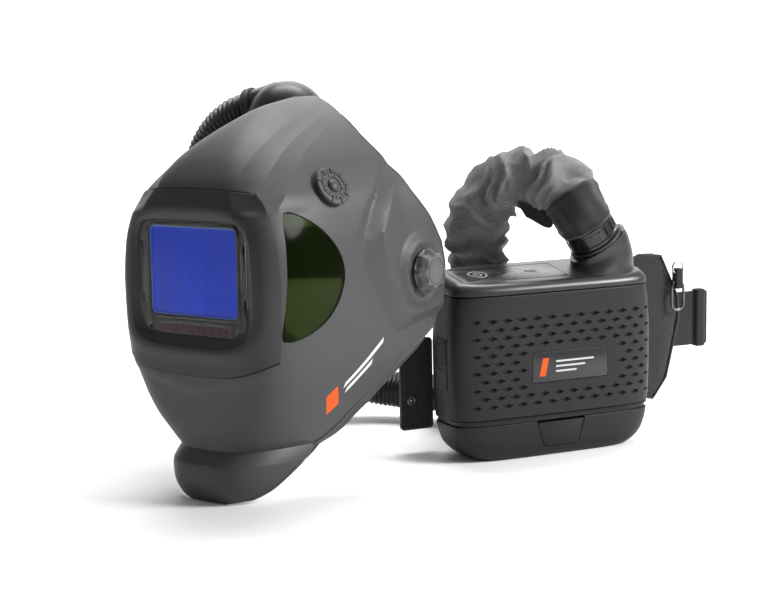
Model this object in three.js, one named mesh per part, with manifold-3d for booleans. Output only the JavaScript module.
// Powered air respirator: a welding helmet fed through a hose by a blower worn on a belt.
// Millimetres, +Z up. The helmet looks along -Y and +X is the wearer's left. The helmet is
// described about its own middle plane, the blower in a frame of its own that is turned and
// set down beside it, and at the end the whole is moved so that the origin is on the floor
// under the middle of the box round everything but the hose.
import * as THREE from 'three';
import { mergeVertices } from 'three/addons/utils/BufferGeometryUtils.js';
import Module from 'manifold-3d';

const wasm = await Module();
wasm.setup();

// ---------------------------------------------------------------- driving dimensions

const gap = 0.3; // left between neighbouring pieces
const sides = [-1, 1]; // the wearer's right and left
const shellWall = 3;
const pivot = { y: -4, z: 198 }; // headgear pivots, on the shell's two sides
const sideY = 10; // the shell is at its widest here and runs straight back from it
const rearY = 70; // closes the shell's solid, well behind its rear edge

// Level sections of the shell: height, half width at sideY, half width that the sides aim
// for at the front, y of the front, and how square the front corners are.
const shellLevels = [
  [-6, 62, 54, -186, 3.2],
  [6, 67, 63, -196, 3.4],
  [20, 71, 67, -201, 3.5],
  [34, 76, 68, -200, 3.6],
  [42, 78, 66, -195, 3.6],
  [48, 80, 63, -190, 3.6],
  [56, 84, 70, -192, 3.9],
  [80, 92, 81, -200, 5],
  [104, 101, 89, -204, 6.4],
  [126, 107, 93, -206, 7.8],
  [160, 111, 94, -206, 8.5],
  [198, 112, 95, -206, 8.5],
  [232, 110, 93, -206, 8],
  [258, 106, 88, -205, 7],
  [276, 101, 82, -202, 6],
  [290, 94, 74, -196, 5.2],
  [306, 84, 64, -182, 4.6],
  [320, 71, 54, -165, 4],
  [333, 57, 43, -145, 3.4],
  [345, 41, 31, -121, 2.9],
  [354, 25, 20, -98, 2.5],
  [361, 8, 8, -62, 2.2],
];
// Side view of the shell's lower and rear edge, from the chin up to the crown: y, z.
const shellEdge = [
  [-215, 0], [-190, 0], [-165, 12], [-119, 44], [-75, 82], [-34, 109], [18, 141], [29, 160],
  [32, 198], [29, 222], [14, 248], [-6, 273], [-19, 300], [-27, 325], [-25, 345], [-14, 370],
];
// Side view of the side window, from its lower front corner round the back: y, z.
const windowOutline = [
  [-189, 151], [-162, 155], [-134, 168], [-116, 185], [-109, 207],
  [-115, 227], [-138, 249], [-168, 264], [-189, 270],
];

const visor = { z: 206, width: 127, height: 102, corner: 12, faceY: -206 };
const filterSize = { width: 133, height: 114, depth: 9 };
const glass = { width: 103, height: 82, z: 212 };
const solar = { width: 80, height: 15, z: 156.5 };

const boss = { radius: 26, from: 107, to: 116.5 }; // round the pivots, on each side
const knobSize = { radius: 21.5, lobes: 8, start: 117.5, thickness: 10.5 };
const studRadius = 5;
const dialPlace = { x: 85, y: -110, z: 282, seat: 3.4 };
const dialSize = { radius: 18.5, stem: 8.6, thickness: 3.4, ticks: 9 };
const dialNormal = new THREE.Vector3(0.86, -0.12, 0.49).normalize();
const inlet = { x: -46, y: -20 }; // where the air comes in through the crown

const hoseSize = { diameter: 40, bore: 34 };
const sleeveSize = { diameter: 62, bore: 42 };
// The hose's middle line: out of the crown cuff, down behind the helmet, along the floor
// behind the blower and up over to its outlet.
const hoseRoute = [
  [-86, -9.7, 347.5], [-101, -12.9, 342.9], [-118, -16.5, 331.5], [-134, -19, 312], [-147, -17, 285],
  [-158, -9, 252], [-165, 4, 216], [-168, 23, 180], [-167, 48, 143], [-160, 80, 107],
  [-143, 116, 75], [-116, 150, 50], [-83, 178, 37], [-46, 192, 32.5], [-10, 196, 32.5],
  [20, 193, 40], [43, 187, 60], [56, 181, 89], [62, 176.5, 124], [64, 174.5, 160],
  [64, 172.5, 193], [65.5, 170, 216], [71.5, 170, 240], [84, 173.5, 257.5], [101, 179, 268],
  [121, 184, 272.5], [141, 187, 271], [158, 187.5, 264], [170, 186.5, 253], [176.5, 188.2, 241],
  [180.85, 195.65, 227.75],
];
const sleeveFirst = 12; // the sleeve covers the route from this point on

const blower = {
  x: 155, y: 151, turn: 60, // place and turn about Z, degrees
  halfDepth: 37, square: 5, wall: 3,
  packTop: 37, railTop: 41.5, capSeam: 166.5, frontTop: 176, rearTop: 190,
};
const coverBack = -14; // the filter cover is all in front of this plane of the blower
const badge = { x: 11, z: 91, width: 88, height: 31, corner: 3 };
const sideLatch = { z: 98, depth: 24, height: 52, face: -116 };
const spout = { x: 65, z: 207, lean: 33 };
const controls = { x: -40, width: 118, depth: 44, button: -74 };

// ---------------------------------------------------------------- materials

function plastic(color, roughness = 0.55) {
  return new THREE.MeshStandardMaterial({ color, roughness, metalness: 0 });
}
const shellGrey = plastic(0x4a4a4b, 0.5);
const frameBlack = plastic(0x262627, 0.45);
const knobGrey = plastic(0x6f7072, 0.45);
const blowerBlack = plastic(0x1d1e20, 0.6);
const innerBlack = plastic(0x202224, 0.6);
const filterWhite = plastic(0xdfe2e2, 0.9);
const boardGreen = plastic(0x1f5a37, 0.5);
const fabricBlack = plastic(0x17181a, 0.95);
const fabricGrey = plastic(0x68696b, 0.95);
const foamGrey = plastic(0x3c3d40, 0.95);
const rubberBlack = plastic(0x141415, 0.8);
const blueGlass = plastic(0x1f3fae, 0.1);
const clearGlass = plastic(0xcfd8dc, 0.05);
const greenGlass = plastic(0x23351c, 0.1);
const solarMaroon = plastic(0x4b2036, 0.2);
const steel = new THREE.MeshStandardMaterial({ color: 0x9a9c9f, roughness: 0.35, metalness: 1 });
const darkSteel = new THREE.MeshStandardMaterial({ color: 0x3a3a3c, roughness: 0.4, metalness: 1 });

// ---------------------------------------------------------------- shape helpers

function solid(geometry) {
  const bare = geometry.clone();
  bare.deleteAttribute('normal');
  bare.deleteAttribute('uv');
  const merged = mergeVertices(bare, 1e-4);
  const vertProperties = new Float32Array(merged.attributes.position.array);
  const triVerts = new Uint32Array(merged.index.array);
  return new wasm.Manifold(new wasm.Mesh({ numProp: 3, vertProperties, triVerts }));
}

function surface(body) {
  const { vertProperties, triVerts } = body.getMesh();
  const geometry = new THREE.BufferGeometry();
  geometry.setAttribute('position', new THREE.BufferAttribute(vertProperties, 3));
  geometry.setIndex(new THREE.BufferAttribute(triVerts, 1));
  return geometry;
}

function mesh(name, shape, material) {
  const geometry = shape.isBufferGeometry ? shape : surface(shape);
  const piece = new THREE.Mesh(geometry, material);
  piece.name = name;
  return piece;
}

function group(...children) {
  const holder = new THREE.Group();
  holder.add(...children);
  return holder;
}

// Closed body skinned over a stack of rings that have the same number of points.
function loft(rings) {
  const count = rings[0].length;
  const points = rings.flat();
  const index = [];
  for (let r = 0; r < rings.length - 1; r++) {
    for (let i = 0; i < count; i++) {
      const a = r * count + i;
      const b = r * count + ((i + 1) % count);
      index.push(a, b, b + count, a, b + count, a + count);
    }
  }
  for (const [ring, start, flip] of [[rings[0], 0, true], [rings.at(-1), points.length - count, false]]) {
    const middle = [0, 1, 2].map((k) => ring.reduce((sum, p) => sum + p[k], 0) / count);
    points.push(middle);
    for (let i = 0; i < count; i++) {
      const edge = [start + i, start + ((i + 1) % count)];
      index.push(...(flip ? edge.reverse() : edge), points.length - 1);
    }
  }
  const geometry = new THREE.BufferGeometry();
  geometry.setAttribute('position', new THREE.Float32BufferAttribute(points.flat(), 3));
  geometry.setIndex(index);
  const body = solid(geometry);
  if (body.volume() > 0) return body;
  for (let i = 0; i < index.length; i += 3) index.splice(i, 3, index[i], index[i + 2], index[i + 1]);
  geometry.setIndex(index);
  return solid(geometry);
}

const planes = {
  plan: [[1, 0, 0], [0, 1, 0], [0, 0, 1]],
  side: [[0, 1, 0], [0, 0, 1], [1, 0, 0]],
  front: [[1, 0, 0], [0, 0, 1], [0, -1, 0]],
};

// Straight body over an outline drawn in one of the planes, from start to end across it.
// Across is +Z in plan, +X from the side and -Y from the front.
function prism(outline, plane, start, end, curveSegments = 3) {
  const corners = Array.isArray(outline) ? outline.map((p) => new THREE.Vector2(...p)) : null;
  const shape = corners ? new THREE.Shape(corners) : outline;
  const depth = end - start;
  const geometry = new THREE.ExtrudeGeometry(shape, { depth, bevelEnabled: false, curveSegments });
  geometry.translate(0, 0, start);
  const axes = planes[plane].map((axis) => new THREE.Vector3(...axis));
  return solid(geometry.applyMatrix4(new THREE.Matrix4().makeBasis(...axes)));
}

function roundedRect(width, height, radius, x = 0, y = 0) {
  const w = width / 2 - radius;
  const h = height / 2 - radius;
  const shape = new THREE.Shape();
  shape.absarc(x + w, y + h, radius, 0, Math.PI / 2);
  shape.absarc(x - w, y + h, radius, Math.PI / 2, Math.PI);
  shape.absarc(x - w, y - h, radius, Math.PI, Math.PI * 1.5);
  shape.absarc(x + w, y - h, radius, Math.PI * 1.5, Math.PI * 2);
  return shape;
}

function box(width, depth, height, x = 0, y = 0, z = 0) {
  return solid(new THREE.BoxGeometry(width, depth, height).translate(x, y, z));
}

// Cylinder or cone between two points.
function rod(from, to, radius, segments = 24, endRadius = radius) {
  const a = new THREE.Vector3(...from);
  const b = new THREE.Vector3(...to);
  const length = a.distanceTo(b);
  const geometry = new THREE.CylinderGeometry(endRadius, radius, length, segments);
  geometry.translate(0, length / 2, 0);
  const along = b.clone().sub(a).normalize();
  geometry.applyQuaternion(new THREE.Quaternion().setFromUnitVectors(new THREE.Vector3(0, 1, 0), along));
  return solid(geometry.translate(a.x, a.y, a.z));
}

function circlePoints(diameter, sides) {
  return Array.from({ length: sides }, (_, i) => {
    const angle = (i / sides) * Math.PI * 2;
    return new THREE.Vector2(Math.cos(angle), Math.sin(angle)).multiplyScalar(diameter / 2);
  });
}

// Hose of an outer diameter and a bore along a smooth line through the points.
function tube(points, size, steps, sides = 10) {
  const line = points.map((p) => new THREE.Vector3(...p));
  const extrudePath = new THREE.CatmullRomCurve3(line, false, 'centripetal');
  const section = new THREE.Shape(circlePoints(size.diameter, sides));
  section.holes.push(new THREE.Path(circlePoints(size.bore, sides).reverse()));
  return solid(new THREE.ExtrudeGeometry(section, { extrudePath, steps, bevelEnabled: false }));
}

function blend(levels, at) {
  const next = levels.findIndex((level) => level[0] > at);
  if (next === 0) return levels[0].slice(1);
  if (next < 0) return levels.at(-1).slice(1);
  const [low, high] = [levels[next - 1], levels[next]];
  const share = (at - low[0]) / (high[0] - low[0]);
  return low.slice(1).map((value, i) => value + share * (high[i + 1] - value));
}

// ---------------------------------------------------------------- helmet shell

const ringSteps = 20;

function shellRing(z, inset) {
  const [halfWidth, frontWidth, front, square] = blend(shellLevels, z + inset);
  const ring = [];
  for (let i = 0; i <= ringSteps; i++) {
    const angle = Math.PI * (i / ringSteps - 0.5);
    const forward = Math.cos(angle) ** (2 / square);
    const out = Math.sign(Math.sin(angle)) * Math.abs(Math.sin(angle)) ** (2 / square);
    const half = halfWidth - (halfWidth - frontWidth) * forward - inset;
    ring.push([half * out, sideY + (front + inset - sideY) * forward, z]);
  }
  ring.push([halfWidth - inset, rearY, z], [inset - halfWidth, rearY, z]);
  return ring;
}

// The space inside the shell's outer face moved in by inset.
function shellSpace(inset, bottom = -6) {
  const levels = inset > 1 ? shellLevels.filter((level, i) => i % 2 === 1) : shellLevels;
  const heights = levels.map((level) => level[0] - inset).filter((z) => z > bottom + 1);
  return loft([bottom, ...heights].map((z) => shellRing(z, inset)));
}

const outerSpace = shellSpace(0);
const innerSpace = shellSpace(shellWall);
const behindEdge = prism([...shellEdge, [120, 370], [120, -30], [-206, -30]], 'side', -200, 200);
const frontTopZ = 286;
const frontBottomZ = 119;

// Outline, seen from the front, of the moulding that holds the filter.
function frontOutline(grow) {
  const shape = new THREE.Shape();
  const steps = 16;
  const half = 104 + grow;
  for (let i = 0; i <= steps; i++) {
    const x = half * (i / steps * 2 - 1);
    const z = frontBottomZ - grow + 28 * Math.abs(x / half) ** 3;
    if (i === 0) shape.moveTo(x, z);
    else shape.lineTo(x, z);
  }
  for (let i = steps; i >= 0; i--) {
    const x = half * (i / steps * 2 - 1);
    shape.lineTo(x, frontTopZ + grow - 16 * Math.abs(x / half) ** 3);
  }
  return shape;
}
const frontBackY = -189;

function dialAxis(from, to) {
  const at = new THREE.Vector3(dialPlace.x, dialPlace.y, dialPlace.z);
  return [from, to].map((along) => at.clone().addScaledVector(dialNormal, along).toArray());
}

// The window's side view moved outwards by an amount, over the side wall of the shell.
function windowPrism(side, grow) {
  const middle = [-155, 209];
  const outline = windowOutline.map(([y, z]) => {
    const away = [y - middle[0], z - middle[1]];
    const scale = 1 + grow / Math.hypot(...away);
    return [middle[0] + away[0] * scale, middle[1] + away[1] * scale];
  });
  return prism(outline, 'side', ...(side > 0 ? [60, 140] : [-140, -60]));
}

// Round piece along the pivots' line, between two distances out to one side.
function pivotRod(side, from, to, radius, segments = 24, endRadius = radius) {
  const [start, end] = [from, to].map((x) => [side * x, pivot.y, pivot.z]);
  return rod(start, end, radius, segments, endRadius);
}

function makeShell() {
  let shell = outerSpace.subtract(innerSpace).subtract(behindEdge);
  shell = shell.subtract(prism(frontOutline(gap), 'front', -frontBackY - gap, 260));
  for (const side of sides) {
    shell = shell.subtract(windowPrism(side, 0));
    shell = shell.add(pivotRod(side, boss.from, boss.to, boss.radius + 3, 24, boss.radius));
    shell = shell.subtract(pivotRod(side, 90, 130, studRadius + 1, 16));
    shell = shell.subtract(pivotRod(side, 80, boss.from, 40));
  }
  shell = shell.subtract(rod(...dialAxis(-12, 12), dialSize.stem + 0.4, 16));
  shell = shell.subtract(rod([inlet.x, inlet.y, 300], [inlet.x, inlet.y, 380], 15, 20));
  return mesh('helmet_shell', shell, shellGrey);
}

// ---------------------------------------------------------------- front frame and filter

const frontRim = 1.2; // the front frame stands proud of the shell by this much

function makeFrontFrame() {
  const hollow = shellSpace(shellWall + 1);
  let frame = shellSpace(-frontRim, 60).subtract(hollow);
  frame = frame.intersect(prism(frontOutline(-gap), 'front', -frontBackY + gap, 260));
  const [width, height] = [filterSize.width + 1, filterSize.height + 1];
  const lipBack = -visor.faceY - 3.4;
  const pocketWall = roundedRect(width + 5, height + 5, 8, 0, visor.z);
  const pocket = roundedRect(width, height, 5, 0, visor.z);
  const opening = roundedRect(visor.width, visor.height, visor.corner, 0, visor.z);
  frame = frame.add(prism(pocketWall, 'front', 187, lipBack + 2));
  frame = frame.subtract(prism(pocket, 'front', 180, lipBack));
  frame = frame.subtract(prism(opening, 'front', 180, 230));
  return mesh('front_frame', frame, frameBlack);
}

// Flat piece with round corners that faces forwards, between two distances in front.
function plate(size, corner, back, front, trim = 0) {
  const outline = roundedRect(size.width - trim, size.height - trim, corner, size.x ?? 0, size.z);
  return prism(outline, 'front', back, front);
}

function makeFilter() {
  const back = 193;
  const front = back + filterSize.depth;
  const sensor = { x: 52, z: 158, radius: 3.5 };
  let body = plate({ ...filterSize, z: visor.z }, 4, back, front);
  body = body.subtract(plate(glass, 6, back - 5, front + 5));
  body = body.subtract(plate(solar, 2, front - 2, front + 2, -0.6));
  const pieces = [
    mesh('inner_lens', plate(glass, 5.6, back + 0.1, back + 1.6, 0.8), clearGlass),
    mesh('filter_glass', plate(glass, 5.6, back + 2, front - 0.6, 0.8), blueGlass),
    mesh('solar_cell', plate(solar, 1.7, front - 1.6, front - 0.4), solarMaroon),
    mesh('cover_lens', plate(visor, visor.corner - 0.4, front + 0.4, front + 1.9, 0.8), clearGlass),
  ];
  for (const side of sides) {
    const at = (depth) => [side * sensor.x, depth - front, sensor.z];
    body = body.subtract(rod(at(-1), at(3), sensor.radius + 0.4, 16));
    const name = side > 0 ? 'arc_sensor_left' : 'arc_sensor_right';
    pieces.push(mesh(name, rod(at(-0.1), at(2.6), sensor.radius, 16), darkSteel));
  }
  return [mesh('filter_cartridge', body, innerBlack), ...pieces];
}

function makeSideWindows() {
  const skin = shellSpace(0.6, 60).subtract(shellSpace(2.8, 60));
  return sides.map((side) => {
    const pane = skin.intersect(windowPrism(side, -gap * 2));
    return mesh(side > 0 ? 'side_window_left' : 'side_window_right', pane, greenGlass);
  });
}

// ---------------------------------------------------------------- controls on the helmet

function makeKnob(side) {
  const outline = new THREE.Shape();
  const steps = knobSize.lobes * 6;
  for (let i = 0; i < steps; i++) {
    const angle = (i / steps) * Math.PI * 2;
    const radius = knobSize.radius - 2.2 * (0.5 - 0.5 * Math.cos(angle * knobSize.lobes));
    const corner = [Math.cos(angle) * radius, Math.sin(angle) * radius];
    if (i === 0) outline.moveTo(...corner);
    else outline.lineTo(...corner);
  }
  let knob = prism(outline, 'side', 0, knobSize.thickness);
  knob = knob.add(rod([knobSize.thickness - 0.5, 0, 0], [knobSize.thickness + 2, 0, 0], 12.5, 24));
  knob = knob.subtract(rod([-1, 0, 0], [8, 0, 0], 5.3, 16));
  const piece = mesh(side > 0 ? 'pivot_knob_left' : 'pivot_knob_right', knob, knobGrey);
  piece.position.set(side * knobSize.start, pivot.y, pivot.z);
  if (side < 0) piece.rotation.z = Math.PI;
  return piece;
}

// The dial is drawn standing on its seat and then set down square to the shell.
function makeDial() {
  const buttonRadius = 6;
  const recess = -4; // the button's well ends here
  const face = dialSize.thickness;
  let dial = rod([0, 0, 0], [0, 0, face], dialSize.radius, 30);
  dial = dial.add(rod([0, 0, -7], [0, 0, 1], dialSize.stem, 20));
  dial = dial.subtract(rod([0, 0, recess], [0, 0, 6], buttonRadius + gap, 20));
  dial = dial.subtract(rod([0, 0, -9], [0, 0, 0], 3.4, 16));
  for (let i = 0; i < dialSize.ticks; i++) {
    const slot = new THREE.BoxGeometry(7, 1.6, 2).translate(13, 0, face);
    dial = dial.subtract(solid(slot.rotateZ((i / dialSize.ticks) * Math.PI * 2)));
  }
  const profile = [[0, -2.2], [6, -2.2], [6, face], [4.2, face + 1.6], [0, face + 2.4]];
  const dome = new THREE.LatheGeometry(profile.map((p) => new THREE.Vector2(...p)), 16);
  const button = mesh('grind_button', solid(dome.rotateX(Math.PI / 2)), knobGrey);
  const holder = group(mesh('shade_dial', dial, knobGrey), button);
  holder.position.set(...dialAxis(dialPlace.seat, dialPlace.seat)[0]);
  holder.quaternion.setFromUnitVectors(new THREE.Vector3(0, 0, 1), dialNormal);
  return holder;
}

// ---------------------------------------------------------------- headgear

// Plan of the headband, and the heights of its front band and of the nape band.
const head = { halfWidth: 74, front: -100, rear: 56, thickness: 2.4, low: 214, high: 244 };
const nape = { inset: -1.6, low: 176, high: 204, z: 190, rearFace: 66.5 };
const strap = { front: 23, width: 14, thickness: 2.4, rise: 67, foot: 228 };

// Plan outline of a band round the head between two angles, 0 being straight ahead.
function bandOutline(from, to, inner, thickness) {
  const steps = 22;
  const edge = (grow) => {
    const points = [];
    for (let i = 0; i <= steps; i++) {
      const angle = THREE.MathUtils.degToRad(from + (to - from) * (i / steps));
      const reach = Math.cos(angle) > 0 ? pivot.y - head.front : head.rear - pivot.y;
      points.push([
        (head.halfWidth + grow) * Math.sin(angle),
        pivot.y - (reach + grow) * Math.cos(angle),
      ]);
    }
    return points;
  };
  return [...edge(inner + thickness), ...edge(inner).reverse()];
}

// The front band with the arms that hang down to the pivots and reach out to the studs.
function makeHeadband() {
  const outside = head.halfWidth + head.thickness - 1;
  const arm = [[-22, 190], [14, 190], [14, 232], [-22, 232]];
  let band = prism(bandOutline(-96, 96, 0, head.thickness), 'plan', head.low, head.high);
  for (const side of sides) {
    const reach = [side * outside, side * (outside + 3)].sort((a, b) => a - b);
    band = band.add(prism(arm, 'side', ...reach));
    band = band.add(pivotRod(side, outside, boss.to - 11, 11, 20));
  }
  return mesh('headband', band, innerBlack);
}

// Strap over the crown, with both feet outside the headband.
function makeCrownStrap() {
  const inside = head.halfWidth + head.thickness + gap;
  const steps = 20;
  const arch = (grow) => {
    const points = [[inside + grow, strap.foot]];
    for (let i = 0; i <= steps; i++) {
      const angle = Math.PI * (i / steps);
      points.push([(inside + grow) * Math.cos(angle), head.high + (strap.rise + grow) * Math.sin(angle)]);
    }
    return [...points, [-inside - grow, strap.foot]];
  };
  const outline = [...arch(strap.thickness), ...arch(0).reverse()];
  const body = prism(outline, 'front', strap.front, strap.front + strap.width);
  return mesh('crown_strap', body, innerBlack);
}

function makeStuds() {
  return sides.map((side) => {
    const name = side > 0 ? 'pivot_stud_left' : 'pivot_stud_right';
    return mesh(name, pivotRod(side, boss.to - 10.7, 124, studRadius, 16), steel);
  });
}

function makeNape() {
  const band = prism(bandOutline(82, 278, nape.inset, head.thickness), 'plan', nape.low, nape.high);
  const cradle = band.add(box(46, 11, 36, 0, nape.rearFace - 5.5, nape.z));
  const pad = prism(bandOutline(140, 220, nape.inset - 4.6, 4), 'plan', nape.low - 2, nape.high + 2);
  const drum = rod([0, nape.rearFace + gap, nape.z], [0, nape.rearFace + 15, nape.z], 17, 12);
  return [
    mesh('nape_cradle', cradle, innerBlack),
    mesh('nape_pad', pad, foamGrey),
    mesh('ratchet_knob', drum, knobGrey),
  ];
}

function makeHeadgear() {
  const pad = prism(bandOutline(-52, 52, -5.3, 5), 'plan', head.low - 2, head.high + 2);
  return [makeHeadband(), mesh('sweatband', pad, foamGrey), makeCrownStrap(), ...makeStuds(), ...makeNape()];
}

// ---------------------------------------------------------------- seal and air duct

function makeFaceSeal() {
  const skin = shellSpace(shellWall + 1.2, 8).subtract(shellSpace(shellWall + 4.2, 5));
  const lower = [[-186, 30], [-160, 30], [-122, 34], [-92, 50], [-60, 74], [-28, 99], [12, 128]];
  const upper = [[12, 150], [-34, 126], [-75, 100], [-119, 66], [-150, 52], [-186, 56]];
  return mesh('face_seal', skin.intersect(prism([...lower, ...upper], 'side', -130, 130)), fabricBlack);
}

const ductMouth = new THREE.Vector3(-78, -8, 350);
const ductTowards = new THREE.Vector3(-0.935, -0.2, -0.29).normalize();

function ductPoint(along) {
  return ductMouth.clone().addScaledVector(ductTowards, along).toArray();
}

function makeCrownDuct() {
  const dome = new THREE.SphereGeometry(1, 22, 12).scale(41, 42, 44).translate(-45, -4, 334);
  let manifold = solid(dome);
  manifold = manifold.subtract(rod(ductPoint(0), ductPoint(40), 80, 6));
  manifold = manifold.add(rod(ductPoint(-26), ductPoint(0), 20, 24));
  manifold = manifold.subtract(shellSpace(-gap)).subtract(box(200, 200, 200, 0, 0, 190));
  manifold = manifold.subtract(rod(ductPoint(-36), ductPoint(10), 15, 20));
  manifold = manifold.subtract(rod([inlet.x, inlet.y + 6, 250], [inlet.x, inlet.y + 6, 352], 12, 16));
  const cuff = rod(ductPoint(gap), ductPoint(8.3), 22.5, 24)
    .subtract(rod(ductPoint(-3), ductPoint(12), 15, 20));
  return [
    mesh('air_manifold', manifold, frameBlack),
    mesh('duct_cuff', cuff, innerBlack),
  ];
}

function makeDiffuser() {
  const z = 322;
  const duct = prism(roundedRect(56, 12, 5, 0, z), 'front', 40, 96);
  const hollow = prism(roundedRect(50, 7, 3, 0, z), 'front', 44, 100);
  return mesh('air_diffuser', duct.subtract(hollow), innerBlack);
}

// ---------------------------------------------------------------- hose

// The bare hose and its sleeved stretch are cut square where they meet.
function makeHose() {
  const join = new THREE.Vector3(...hoseRoute[sleeveFirst]);
  const along = new THREE.Vector3(...hoseRoute[sleeveFirst + 1]).sub(join).normalize();
  const beyond = (side) => {
    const ends = [-gap / 2, 90].map((reach) => join.clone().addScaledVector(along, side * reach));
    return rod(...ends.map((p) => p.toArray()), sleeveSize.diameter, 8);
  };
  const bare = tube(hoseRoute.slice(0, sleeveFirst + 2), hoseSize, 18).subtract(beyond(1));
  const covered = tube(hoseRoute.slice(sleeveFirst - 1), sleeveSize, 26).subtract(beyond(-1));
  return [mesh('hose_tube', bare, rubberBlack), mesh('hose_sleeve', covered, fabricGrey)];
}

// ---------------------------------------------------------------- blower

// Half widths of the blower at each height, narrowing to its rounded lower corners.
const blowerLevels = [
  [0, 84, 30], [3, 92, 33], [9, 100, 35.5], [18, 107, 36.5], [34, 112, 37],
  [70, 115, 37], [120, 115.5, 37], [150, 113.5, 37], [166.5, 111, 36.6],
];

function blowerRing(z, inset, halfWidth, halfDepth) {
  const ring = [];
  const steps = 36;
  for (let i = 0; i < steps; i++) {
    const angle = (i / steps) * Math.PI * 2;
    const [c, s] = [Math.cos(angle), Math.sin(angle)];
    const x = Math.sign(c) * Math.abs(c) ** (2 / blower.square) * (halfWidth - inset);
    const y = Math.sign(s) * Math.abs(s) ** (2 / blower.square) * (halfDepth - inset);
    ring.push([x, y, z]);
  }
  return ring;
}

function blowerSpace(bottom, top, inset = 0) {
  const between = blowerLevels.map((level) => level[0]).filter((z) => z > bottom && z < top);
  return loft([bottom, ...between, top].map((z) => blowerRing(z, inset, ...blend(blowerLevels, z))));
}

// Shell of the blower behind the filter cover, with the rail that the battery slides on.
function makeBlowerBody() {
  const { wall, railTop, packTop, capSeam } = blower;
  const floorTop = railTop + 1;
  let body = blowerSpace(railTop, capSeam - gap);
  body = body.subtract(blowerSpace(railTop + wall, capSeam + 5, wall));
  body = body.subtract(box(400, 100, 200, 0, coverBack - 50 + gap, floorTop + 100));
  body = body.add(blowerSpace(packTop + 0.5, floorTop, 1.6));
  body = body.subtract(box(8, sideLatch.depth, sideLatch.height, sideLatch.face + 2, 0, sideLatch.z));
  return mesh('blower_body', body, blowerBlack);
}

// Press tab in the side of the body that lets the filter cover go.
function makeSideLatch() {
  const { depth, height, face, z } = sideLatch;
  let tab = box(3.4, depth - 0.8, height - 0.8, face + 1.7, 0, z);
  for (const rise of [-6, 0, 6]) tab = tab.add(box(0.8, depth - 8, 1.6, face - 0.2, 0, z + rise));
  return mesh('side_latch', tab, blowerBlack);
}

function makeFilterCover() {
  let cover = blowerSpace(blower.railTop + 1.6, blower.capSeam - 1);
  cover = cover.subtract(blowerSpace(blower.railTop, blower.capSeam, blower.wall));
  cover = cover.intersect(box(400, 100, 400, 0, coverBack - 50, 100));
  cover = cover.subtract(plate(badge, badge.corner, 35, 60));
  const label = plate(badge, badge.corner - 0.3, 35.2, 36.9, 0.8);
  return [mesh('filter_cover', cover, blowerBlack), mesh('badge_plate', label, innerBlack)];
}

// Neck of the cap that turns from a long oval to the round, leaning outlet.
function makeNeck() {
  const levels = [
    // height, half width, half depth, x, share of the lean
    [172, 46, 31, 62, 0], [180, 43, 30, 64, 0.15], [188, 37, 28.5, 67, 0.45],
    [198, 31, 27.5, 68, 0.8], [spout.z, 27.5, 27.5, spout.x, 1],
  ];
  const slope = Math.tan(THREE.MathUtils.degToRad(spout.lean));
  return loft(levels.map(([z, halfX, halfY, x, share]) => {
    const circle = circlePoints(2, 28);
    return circle.map((p) => [x + halfX * p.x, halfY * p.y, z + halfX * p.x * slope * share]);
  }));
}

function makeCap() {
  const { capSeam, frontTop, rearTop, halfDepth, wall } = blower;
  const rise = (rearTop - frontTop) / (2 * halfDepth);
  const tilted = (ring, share) => ring.map(([x, y, z]) => [x, y, z + share * rise * (y + halfDepth)]);
  let cap = loft([
    blowerRing(capSeam, 0, 111, 36.6),
    tilted(blowerRing(capSeam + 5, 0, 110.5, 36.4), 0.4),
    tilted(blowerRing(frontTop - 2.5, 0, 107, 34), 1),
    tilted(blowerRing(frontTop, 0, 101, 30), 1),
  ]);
  cap = cap.add(makeNeck());
  cap = cap.subtract(rod(spoutPoint(-34), spoutPoint(10), 21, 24));
  cap = cap.subtract(blowerSpace(capSeam - 5, capSeam + 0.01, wall));
  cap = cap.subtract(box(186, 48, 7, 0, 0, capSeam + 2));
  cap = cap.subtract(onTop(prism(controlsOutline(0), 'plan', -4.3, 10)));
  cap = cap.subtract(onTop(rod([controls.button, 0, -9], [controls.button, 0, 10], 12, 24)));
  return mesh('top_cap', cap, blowerBlack);
}

// Sets a body that was made flat, with its face at z 0, into the sloping top of the cap.
function onTop(body) {
  const slope = Math.atan((blower.rearTop - blower.frontTop) / (2 * blower.halfDepth));
  const height = (blower.frontTop + blower.rearTop) / 2 + 0.2;
  return body.rotate([THREE.MathUtils.radToDeg(slope), 0, 0]).translate([0, 0, height]);
}

function controlsOutline(trim) {
  return roundedRect(controls.width - trim, controls.depth - trim, 5 - trim / 2, controls.x, 0);
}

function spoutPoint(along) {
  const lean = THREE.MathUtils.degToRad(spout.lean);
  return [spout.x - Math.sin(lean) * along, 0, spout.z + Math.cos(lean) * along];
}

function makePanel() {
  const x = controls.button;
  let panel = prism(controlsOutline(0.6), 'plan', -3.9, -0.4);
  panel = panel.subtract(rod([x, 0, -8], [x, 0, 4], 11.4, 24));
  const button = rod([x, 0, -6.5], [x, 0, 0.4], 11, 24);
  return [mesh('control_panel', onTop(panel), frameBlack), mesh('power_button', onTop(button), innerBlack)];
}

function makeOutlet() {
  const ring = (from, to, outer, inner) => {
    const bore = rod(spoutPoint(from - 2), spoutPoint(to + 2), inner, 16);
    return rod(spoutPoint(from), spoutPoint(to), outer, 20).subtract(bore);
  };
  return [
    mesh('seal_ring', ring(1, 4.2, 28.5, 21), rubberBlack),
    mesh('locking_collar', ring(4.6, 24, 26.5, 18.5), innerBlack),
  ];
}

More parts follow.
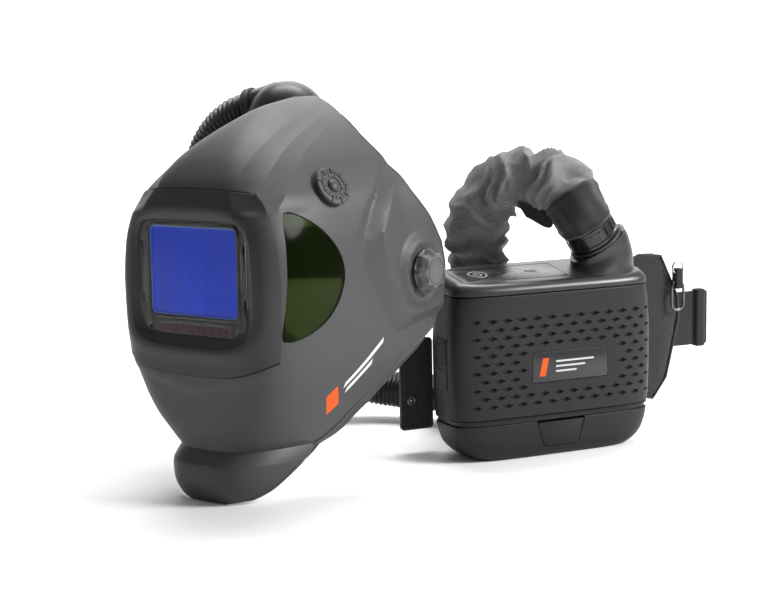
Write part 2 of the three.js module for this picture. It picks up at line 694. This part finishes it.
function makeBattery() {
  let pack = blowerSpace(0, blower.packTop);
  const trapezoid = (grow) => [
    [-27 - grow, 35], [27 + grow, 35], [20 + grow, 13], [16 + grow, 10.5 - grow],
    [-16 - grow, 10.5 - grow], [-20 - grow, 13],
  ];
  pack = pack.subtract(prism(trapezoid(0.6), 'front', 27, 60));
  pack = pack.subtract(box(55.2, 40, 6, 0, -47, blower.packTop));
  const tab = prism(trapezoid(0), 'front', 30, 36.8);
  return [mesh('battery_pack', pack, blowerBlack), mesh('battery_latch', tab, innerBlack)];
}

function makeInsides() {
  const fan = { x: -40, z: 98, radius: 34 };
  const filterZ = 102;
  const hepa = box(150, 20, 96, 18, -2.5, filterZ);
  const prefilter = box(150, 3, 96, 18, -15, filterZ);
  const gasket = prism(roundedRect(150, 96, 3, 18, filterZ), 'front', -12, -8.2)
    .subtract(prism(roundedRect(134, 80, 3, 18, filterZ), 'front', -14, -6));
  const scroll = rod([fan.x, 12.6, fan.z], [fan.x, 32, fan.z], fan.radius + 8, 28)
    .add(box(60, 19.4, 30, fan.x + 40, 22.3, fan.z + 27))
    .subtract(rod([fan.x, 15, fan.z], [fan.x, 30, fan.z], fan.radius + 4, 28))
    .subtract(rod([fan.x, 8, fan.z], [fan.x, 20, fan.z], 18, 20))
    .subtract(box(62, 13, 22, fan.x + 44, 22.3, fan.z + 27));
  let impeller = rod([fan.x, 26, fan.z], [fan.x, 28, fan.z], fan.radius, 28);
  impeller = impeller.add(rod([fan.x, 20, fan.z], [fan.x, 27, fan.z], 7, 16));
  const blades = 14;
  for (let i = 0; i < blades; i++) {
    const blade = new THREE.BoxGeometry(1.4, 10, 13).translate(0, 21.5, fan.radius - 9);
    blade.rotateY((i / blades) * Math.PI * 2).translate(fan.x, 0, fan.z);
    impeller = impeller.add(solid(blade));
  }
  impeller = impeller.subtract(rod([fan.x, 18, fan.z], [fan.x, 24, fan.z], 3, 12));
  const motor = rod([fan.x, 15.2, fan.z], [fan.x, 19.4, fan.z], 6, 20)
    .add(rod([fan.x, 19, fan.z], [fan.x, 23.5, fan.z], 2.4, 12));
  const board = box(80, 1.6, 40, 50, 30, 72);
  return [
    mesh('particle_filter', hepa, filterWhite),
    mesh('prefilter', prefilter, foamGrey),
    mesh('filter_gasket', gasket, rubberBlack),
    mesh('fan_scroll', scroll, innerBlack),
    mesh('fan_impeller', impeller, innerBlack),
    mesh('fan_motor', motor, steel),
    mesh('circuit_board', board, boardGreen),
  ];
}

// ---------------------------------------------------------------- belt

const beltFace = -blower.halfDepth - 0.5; // front of the belt plate
const padFace = beltFace - 5.4; // front of the belt's soft pad
const ringPlace = { x: 192, z: 160, radius: 6.5, y: 38.5 };

function makeBelt() {
  const wing = [
    [101, 40], [166, 22], [184, 44], [203, 112], [200, 140], [176, 186], [146, 188], [101, 170],
  ];
  const loop = plate({ width: 12, height: 64, x: 232, z: 109 }, 4, padFace - 19, padFace - 8)
    .subtract(box(14, 3.9, 61.4, 232, 13.05 - padFace, 109));
  const strapPiece = plate({ width: 60, height: 60, x: 213, z: 109 }, 3, padFace - 14.5, padFace - 11.6);
  const flap = plate({ width: 36, height: 94, x: -120, z: 70 }, 4, padFace - 9, padFace - 2);
  return [
    mesh('belt_plate', plate({ width: 150, height: 96, z: 96 }, 12, beltFace - 5, beltFace), innerBlack),
    mesh('belt_pad', plate({ width: 200, height: 124, z: 96 }, 22, padFace - 12, padFace), fabricBlack),
    mesh('belt_flap', flap, fabricBlack),
    mesh('belt_wing', prism(wing, 'front', padFace - 11, padFace - 1), fabricBlack),
    mesh('belt_strap', strapPiece, fabricBlack),
    mesh('strap_loop', loop, fabricBlack),
    mesh('snap_stud', rod([-127, -padFace - 0.3, 54], [-127, -padFace + 1.7, 54], 5, 16), darkSteel),
  ];
}

// A sewn tab on the belt's wing holds a small ring and, under it, a long clip ring.
function makeRings() {
  const { x, y, z, radius } = ringPlace;
  const small = new THREE.TorusGeometry(radius, 1.3, 6, 16).rotateX(Math.PI / 2).translate(x, y, z + 9);
  const clip = { width: 18, height: 34, x, z: z - 22 };
  const eye = { width: 12, height: 28, x, z: clip.z };
  const clipRing = plate(clip, 8.9, -y - 1.5, -y + 1.5).subtract(plate(eye, 5.9, -y - 4, -y + 4));
  const [front, back] = [y - 4.4, -padFace + 0.7];
  let tab = box(8, back - front, 22, x, (front + back) / 2, z - 3);
  tab = tab.subtract(box(20, 6, 5.6, x, y, z + 3.7));
  tab = tab.subtract(box(20, 6.6, 6.3, x, y, z - 7.3));
  return [
    mesh('ring_tab', tab, fabricBlack),
    mesh('split_ring', solid(small), steel),
    mesh('clip_ring', clipRing, darkSteel),
  ];
}

// ---------------------------------------------------------------- assembly

const helmet = group(
  makeShell(), makeFrontFrame(), ...makeFilter(), ...makeSideWindows(), ...sides.map(makeKnob),
  makeDial(), ...makeHeadgear(), makeFaceSeal(), ...makeCrownDuct(), makeDiffuser(),
);
const blowerGroup = group(
  makeBlowerBody(), makeSideLatch(), ...makeFilterCover(), makeCap(), ...makePanel(), ...makeOutlet(),
  ...makeBattery(), ...makeInsides(), ...makeBelt(), ...makeRings(),
);
blowerGroup.position.set(blower.x, blower.y, 0);
blowerGroup.rotation.z = THREE.MathUtils.degToRad(blower.turn);

const hose = group(...makeHose());
const respirator = group(helmet, blowerGroup);
respirator.updateMatrixWorld(true);
const bounds = new THREE.Box3().setFromObject(respirator, true);
const middle = bounds.getCenter(new THREE.Vector3());
respirator.add(hose);
respirator.position.set(-middle.x, -middle.y, -bounds.min.z);

export default respirator;
